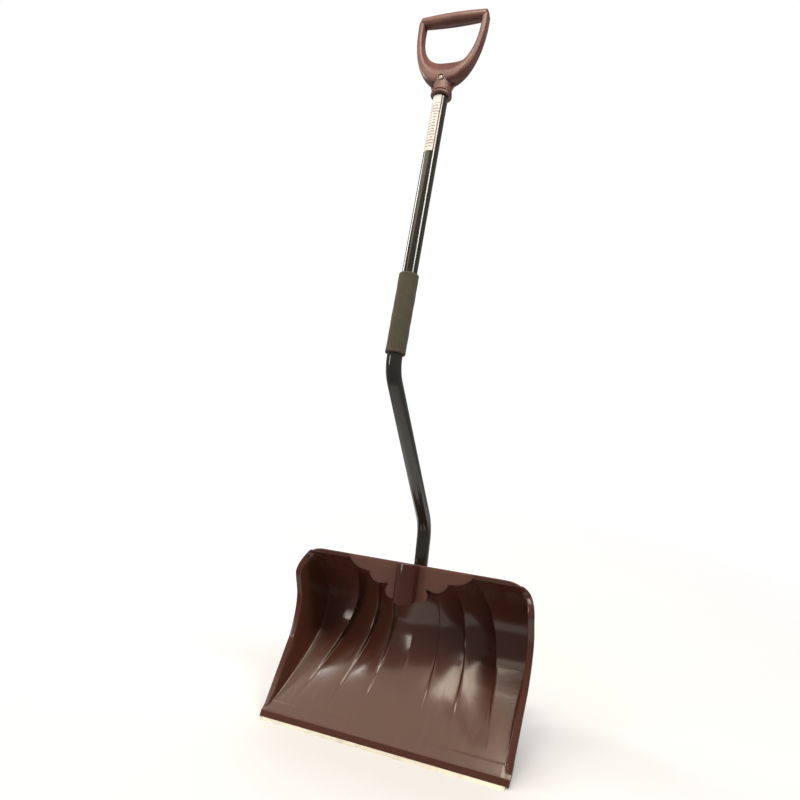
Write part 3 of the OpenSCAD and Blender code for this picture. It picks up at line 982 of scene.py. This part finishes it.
@dataclass
class Socket:
    """The sleeve behind the scoop that takes the tube, with its webs. Sizes are in millimetres."""

    seat: Stretch
    tube_r: float = 12.7
    sleeve_r: float = 17.2
    low: float = -5.0
    high: float = 43.0
    web_t: float = 2.8
    floor_t: float = 5.0
    web_back: Span = (-1.0, -50.0)
    web_drop: float = 5.0

    def sleeve(self) -> Skin:
        """Closed cup: out over the floor, up the outside, over the mouth and down the bore."""
        bore, inside = self.tube_r + 0.1, self.low + self.floor_t
        return self.seat.lathe(rounded([
            (0.0, self.low, 0.0), (self.sleeve_r, self.low, 2.5), (self.sleeve_r, self.high, 1.2),
            (bore, self.high, 1.0), (bore, inside, 0.0), (0.0, inside, 0.0)]))

    def web(self, x: float) -> Skin:
        """Closed flat web from the sleeve to the scoop, square to X, lower at its far top corner.

        Args:
            x: The place of its middle, across.

        Returns:
            A closed skin.
        """
        t = self.web_t / 2.0
        low, high = self.low + 1.0, self.high - 3.0
        v = np.repeat(self.web_back, 2)
        w = np.array([low, high, high - self.web_drop, low + self.web_drop * 0.3])
        rings = np.stack([self.seat.put(np.full(4, x + s), v, w) for s in (-t, -t * 0.85, t * 0.85, t)])
        return closed_rings(rings)

    def build(self) -> None:
        """Makes the sleeve with its webs."""
        webs = [self.web(s * (self.sleeve_r - 2.0)) for s in (-1.0, 0.0, 1.0)]
        finish = MouldedGloss(name="socket_plastic", roughness=0.3)
        make_piece("socket_sleeve", [self.sleeve(), *webs], finish.material(), Slot.SCOOP)


# ---- the handle


@dataclass
class Handle:
    """Tube bent twice, with its foam sleeve and label. Sizes are in millimetres and degrees."""

    upper: Stretch
    tube_r: float = 12.7
    leans: tuple[float, float, float] = (15.5, -25.0, 24.0)
    runs: tuple[float, float, float] = (122.0, 336.0, 535.0)
    bend_r: tuple[float, float] = (70.0, 55.0)
    foam_r: float = 16.8
    foam_at: float = 27.0
    foam_l: float = 138.0
    foam_round: tuple[float, float] = (1.6, 2.6)
    foam_slack: float = 0.28
    foam_fill: float = 0.9
    label_at: float = 388.0
    label_l: float = 108.0

    @staticmethod
    def step(point: Array, lean: float, run: float) -> Array:
        """A point moved a distance along a leaning line."""
        a = math.radians(lean)
        return point + run * np.array([math.sin(a), math.cos(a)])

    def path(self) -> tuple[Array, Array]:
        """The tube's middle line: straight runs joined by round bends that touch them.

        Returns:
            Points (y, z), and leans in radians.
        """
        low, mid, up = self.leans
        knee = np.array(self.upper.foot)
        hip = self.step(knee, mid, -self.runs[1])
        points, leans = [self.step(hip, low, -self.runs[0])], [low]
        for corner, a, b, r in ((hip, low, mid, self.bend_r[0]), (knee, mid, up, self.bend_r[1])):
            tangent = r * math.tan(math.radians(abs(b - a) / 2.0))
            way = 1.0 if b > a else -1.0
            start = self.step(corner, a, -tangent)
            centre = self.step(start, a + 90.0, way * r)
            for lean in np.linspace(a, b, 25):
                points.append(self.step(centre, lean - 90.0, way * r))
                leans.append(lean)
        points.append(self.step(knee, up, self.runs[2]))
        leans.append(up)
        return np.array(points), np.radians(leans)

    def tube(self) -> Skin:
        """Closed tube: a circle carried along the middle line, closed by flat ends."""
        mid, lean = self.path()
        turn = full_turn(64)
        side = self.tube_r * np.sin(turn)
        x = np.broadcast_to(self.tube_r * np.cos(turn), (len(mid), len(turn)))
        y = mid[:, :1] + side * np.cos(lean)[:, None]
        z = mid[:, 1:] - side * np.sin(lean)[:, None]
        return closed_rings(np.stack([x, y, z], axis=-1))

    def sleeve(self) -> Skin:
        """Closed foam sleeve: a wall with rounded ends, and a sum of three slow sines along and
        round it, which fades out at the ends."""
        low, high = self.foam_round
        top = self.foam_l - high
        up = breaks((low, 6.0, 6), (6.0, self.foam_l - 8.0, 60), (self.foam_l - 8.0, top, 6))
        bend = np.radians(np.linspace(0.0, 90.0, 8))
        radius = self.foam_r - np.concatenate([low * (1.0 - np.sin(bend)), np.zeros(len(up) - 1),
                                               high * (1.0 - np.cos(bend))])
        height = np.concatenate([low * (1.0 - np.cos(bend)), up[1:], top + high * np.sin(bend)])
        turn = full_turn(96)
        wave = sum(size * np.sin(height[:, None] * along + turns * turn)
                   for size, along, turns in ((0.14, 0.21, 2.0), (0.10, 0.083, -1.0), (0.05, 0.55, 3.0)))
        wave = wave - self.foam_slack
        fade = np.clip(np.minimum(height, self.foam_l - height) / 6.0, 0.0, 1.0)[:, None]
        r = radius[:, None] + wave * fade
        inner = np.full((2, len(turn)), self.tube_r + 0.02)
        r = np.concatenate([inner[:1], r, inner[1:]])
        height = np.concatenate([[0.0], height, [self.foam_l]])
        rings = self.upper.put(r * np.cos(turn), r * np.sin(turn), self.foam_at + height[:, None])
        rows, cols = rings.shape[:2]
        faces = grid_quads(rows, cols, wrap=True)
        here, after = np.arange(cols), (np.arange(cols) + 1) % cols
        last = (rows - 1) * cols
        bore = np.stack([last + here, last + after, after, here], axis=-1)
        return rings.reshape(-1, 3), np.concatenate([faces, bore]).tolist()

    def build(self) -> None:
        """Makes the tube and the foam sleeve, and dresses the label."""
        make_piece("handle_tube_skin", [self.tube()], GlossPaint().material(), Slot.TUBE, "handle_tube",
                   sharp=50.0)
        foam = make_piece("foam_sleeve", [self.sleeve()], CellFoam().material(), Slot.FOAM, "foam_grip",
                          sharp=60.0)
        foot = self.upper.at(self.label_at)
        lean = math.radians(self.upper.lean)
        paper = PrintedPaper((foot[0] * MM, foot[1] * MM), lean, self.label_l * MM)
        dress("handle_label", paper.material())


# ---- the D-grip


@dataclass
class DGrip:
    """Moulded D-grip: bow, bar, ferrule with collar and gussets. Sizes are in millimetres."""

    base: Stretch
    width: float = 131.0
    bar_up: float = 160.0
    bar_r: float = 12.5
    crown: float = 2.3
    ferrule_r: float = 16.4
    bow_top: float = 150.0
    outer_h: float = 129.0
    front_h: float = 103.0
    front_w: float = 109.0
    back_h: float = 62.0
    back_w: float = 106.0
    rise: float = 13.0
    bow_depth: float = 9.6
    yoke_depth: float = 15.0
    leg_in: float = 4.0
    bar_in: float = 2.2
    bar_round: float = 4.5
    dome_up: float = 31.0
    dome_h: float = 17.0
    gusset_t: float = 2.4
    screw_up: float = 30.5

    def bow(self) -> Skin:
        """Closed bow: rounded oblong sections from an outer edge to an inner one.

        Each edge is a squared ellipse below the bow's top, and runs straight up above it. The inner
        edge is deep and round in front, and high and flat behind, which dishes the yoke.
        """
        legs, parts = 12, 144
        turn = np.radians(np.linspace(0.0, 180.0, parts + 1))
        lift = np.linspace(1.0, 0.0, legs + 1)[:-1]
        t = np.concatenate([lift, np.zeros(parts + 1), lift[::-1]])
        a = np.concatenate([np.zeros(legs), turn, np.full(legs, np.pi)])
        side = np.concatenate([np.ones(legs), np.zeros(parts + 1), -np.ones(legs)])
        pull = side * self.leg_in * t ** 5

        def edge(width: float, drop: float, across: float, down: float, shift: float) -> Array:
            """Points of one edge, squared by the powers across and down, its legs drawn in by shift."""
            return np.stack([width / 2.0 * signed_power(np.cos(a), across) + shift * pull,
                             self.bow_top + self.rise * t - drop * np.sin(a) ** down], axis=-1)[:, None, :]

        outer = edge(self.width, self.outer_h, 0.85, 1.0, -1.0)
        front = edge(self.front_w, self.front_h, 0.9, 0.9, 0.5)
        back = edge(self.back_w, self.back_h, 0.55, 0.6, 0.5)
        depth = self.bow_depth + (self.yoke_depth - self.bow_depth) * np.sin(a) ** 3
        depth = (depth * (1.0 - 0.35 * t ** 4))[:, None]
        around = full_turn(64)
        c, v = signed_power(np.cos(around), 0.62), signed_power(np.sin(around), 0.62)
        share = ((1.0 + v) / 2.0)[None, :, None]
        inner = front + (back - front) * share
        at = outer + (inner - outer) * ((1.0 - c) / 2.0)[None, :, None]
        return closed_rings(self.base.put(at[..., 0], depth * v, at[..., 1]))

    def bar(self) -> Skin:
        """Closed bar across the top: a circle carried along it, thickest in the middle by a cosine
        and rounded at its ends."""
        t = np.linspace(-1.0, 1.0, 61)
        r = self.bar_r + self.crown * (np.cos(t * np.pi / 2.0) - 1.0)
        r = r - self.bar_round * np.clip((np.abs(t) - 0.955) / 0.045, 0.0, 1.0) ** 2
        around = full_turn(48)
        x = t[:, None] * (self.width / 2.0 - self.bar_in)
        up = self.bar_up + r[:, None] * np.sin(around)
        return closed_rings(self.base.put(x, r[:, None] * np.cos(around), up))

    def ferrule(self) -> Skin:
        """Closed ferrule and collar: a turned profile with a groove and a domed top."""
        dome = np.radians(np.linspace(0.0, 88.0, 14))
        across, up = self.ferrule_r * np.cos(dome), self.dome_up + self.dome_h * np.sin(dome)
        top = [(float(x), float(z), 0.0) for x, z in zip(across, up)]
        collar = [(0.0, 0.3, 0.0), (12.9, 0.3, 0.0), (16.2, 0.0, 0.8), (18.6, 1.6, 0.8), (18.6, 5.0, 0.8)]
        groove = [(16.9, 5.8, 0.4), (16.9, 7.4, 0.4), (18.0, 8.0, 0.8), (18.0, 10.4, 0.9)]
        end = (0.0, self.dome_up + self.dome_h, 0.0)
        return self.base.lathe(rounded([*collar, *groove, (self.ferrule_r, 11.4, 0.8), *top, end]))

    def boss(self) -> Skin:
        """Closed screw boss: a turned ring proud of the ferrule's front, sunk in the middle."""
        r = np.array([0.0, 3.6, 4.4, 4.9, 5.9, 6.6, 6.9])
        out = np.array([15.0, 15.0, 15.6, 16.9, 17.1, 16.6, 14.0])
        turn = full_turn(40)
        rings = self.base.put(r[:, None] * np.cos(turn), -out[:, None],
                              self.screw_up + r[:, None] * np.sin(turn))
        return closed_rings(rings)

    def gusset(self, side: float) -> Skin:
        """Closed thin web from the collar to the bow's shoulder.

        Args:
            side: 1 or -1.

        Returns:
            A closed skin.
        """
        x = side * np.array([14.0, 17.4, 25.5, 14.0])
        up = np.array([10.0, 10.4, 30.0, 39.0])
        rings = np.stack([self.base.put(x, np.full(4, v * self.gusset_t / 2.0), up)
                          for v in (-1.0, -0.8, 0.8, 1.0)])
        return closed_rings(rings)

    def build(self) -> None:
        """Makes the grip as one moulded piece."""
        shells = [self.bow(), self.bar(), self.ferrule(), self.boss(), self.gusset(-1.0), self.gusset(1.0)]
        make_piece("d_grip_body", shells, SatinPlastic().material(), Slot.GRIP, "d_grip", sharp=42.0)


# ---- the studio


def dress(node: str, finish: Material) -> None:
    """Gives a CAD node its finish.

    Args:
        node: The node's name.
        finish: The material.
    """
    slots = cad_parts[node].data.materials
    slots.clear()
    slots.append(finish)
    log.info("%s: %s", node, finish.name)


@dataclass
class Studio:
    """Pale floor, soft lights and the camera. Sizes are in metres and degrees."""

    camera_at: Point = (0.49736, -0.98758, 0.77670)
    yaw: float = 24.4265
    pitch: float = 9.5737
    lens: float = 33.255
    sky: float = 0.22
    floor_half: float = 12.0

    def light(self, name: str, at: Point, aim: Point, size: tuple[float, float], power: float,
              tint: Colour = (1.0, 1.0, 1.0), glossy: bool = True) -> None:
        """Adds one rectangular soft light.

        Args:
            name: Its name.
            at: Its place.
            aim: The point it faces.
            size: Its width and height.
            power: Its power in watts.
            tint: Its colour.
            glossy: Whether it shows in reflections.
        """
        lamp = bpy.data.lights.new(name, "AREA")
        lamp.shape, lamp.size, lamp.size_y = "RECTANGLE", size[0], size[1]
        lamp.energy, lamp.color = power, tint
        holder = add_object(name, lamp)
        holder.location = at
        holder.visible_glossy = glossy
        away = np.array(at) - np.array(aim)
        yaw = math.atan2(away[0], -away[1])
        pitch = math.atan2(away[2], math.hypot(away[0], away[1]))
        holder.rotation_euler = (math.pi / 2.0 - pitch, 0.0, yaw)

    def room(self) -> bpy.types.World:
        """A plain white backdrop with the softer light of a room.

        Returns:
            The world.
        """
        world = bpy.data.worlds.new("studio")
        world.use_nodes = True
        tree = world.node_tree
        soft = tree.nodes["Background"]
        soft.inputs[0].default_value = (1.0, 0.97, 0.93, 1.0)
        soft.inputs[1].default_value = self.sky
        white = tree.nodes.new("ShaderNodeBackground")
        white.inputs[0].default_value = (1.0, 1.0, 1.0, 1.0)
        path, mix = tree.nodes.new("ShaderNodeLightPath"), tree.nodes.new("ShaderNodeMixShader")
        tree.links.new(path.outputs["Is Camera Ray"], mix.inputs[0])
        tree.links.new(soft.outputs[0], mix.inputs[1])
        tree.links.new(white.outputs[0], mix.inputs[2])
        tree.links.new(mix.outputs[0], tree.nodes["World Output"].inputs[0])
        return world

    def build(self) -> None:
        """Makes the floor, the lights and the camera."""
        ring = np.array([[-1, -1], [1, -1], [1, 1], [-1, 1]]) * self.floor_half
        mesh = bpy.data.meshes.new("floor")
        mesh.from_pydata([(x, y, 0.0) for x, y in ring], [], [[0, 1, 2, 3]])
        mesh.materials.append(PaleFloor().material())
        add_object("floor", mesh)
        bpy.context.scene.world = self.room()
        base = (0.0, 0.1, 0.0)
        self.light("overhead", (-0.7, -0.2, 2.3), base, (1.7, 1.5), 12.5, (1.0, 0.86, 0.68))
        self.light("window", (0.25, 0.0, 2.2), (0.1, 0.0, 0.0), (0.5, 1.0), 13.0, (1.0, 0.88, 0.72))
        self.light("front_left", (-1.7, -1.5, 1.3), (0.0, 0.1, 0.6), (0.4, 0.9), 8.0, (1.0, 0.93, 0.82))
        self.light("right", (1.5, -0.1, 2.0), (0.0, 0.1, 0.2), (0.35, 0.9), 16.0, (1.0, 0.95, 0.86))
        self.light("left", (-1.5, 0.4, 1.4), (0.1, 0.05, 0.05), (0.35, 0.8), 10.0, (1.0, 0.95, 0.88))
        self.light("back", (-0.2, 2.1, 2.1), (0.0, 0.6, 0.2), (1.8, 1.0), 26.0, glossy=False)
        view = bpy.data.cameras.new("camera")
        view.sensor_width, view.lens = 36.0, self.lens
        holder = add_object("camera", view)
        holder.location = self.camera_at
        holder.rotation_euler = (math.radians(90.0 - self.pitch), 0.0, math.radians(self.yaw))
        bpy.context.scene.camera = holder
        bpy.context.scene.view_settings.view_transform = "Standard"


def corners(node: str) -> tuple[Array, Array]:
    """Lowest and highest corner of a CAD node, in millimetres."""
    lo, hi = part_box(node)
    return np.array(lo) / MM, np.array(hi) / MM


def upper_stretch() -> Stretch:
    """The handle's upper stretch, worked out from the CAD foam sleeve's box.

    The box's lowest corner lies on the rounding of the sleeve's foot, which gives the foot's middle.

    Returns:
        The stretch, with its foot at the second bend.
    """
    foam_lo, _ = corners("foam_grip")
    lean, rounding = Handle.leans[2], 1.5
    s, c = sin_cos(lean)
    foam_foot = Stretch((foam_lo[1] + Handle.foam_r * c - rounding * s,
                         foam_lo[2] + (Handle.foam_r - rounding) * s), lean)
    return Stretch(foam_foot.at(-Handle.foam_at), lean)


def main() -> None:
    """Builds every sub-assembly in order."""
    blade_lo, blade_hi = corners("blade")
    lip_y, lip_z, scoop_h, grip_up = 8.988, 4.384, 269.0, 498.0
    upper = upper_stretch()
    handle = Handle(upper)
    Studio().build()
    scoop = Scoop(lip_y, lip_z, blade_hi[0] - blade_lo[0], scoop_h)
    scoop.build()
    SocketPlate(scoop).build()
    handle.build()
    low_end, _ = handle.path()
    Socket(Stretch((float(low_end[0, 0]), float(low_end[0, 1])), handle.leans[0])).build()
    DGrip(Stretch(upper.at(grip_up), upper.lean)).build()
    dress("wear_strip", WornZinc().material())
    dress("wear_strip_rivets", PlatedSteel("rivet_aluminium", (0.72, 0.72, 0.70), 0.32).material())
    dress("d_grip_screw", PlatedSteel("grip_screw_steel", (0.86, 0.82, 0.76)).material())
    dress("socket_screw", PlatedSteel("socket_screw_steel").material())


if __name__ == "__main__":
    main()
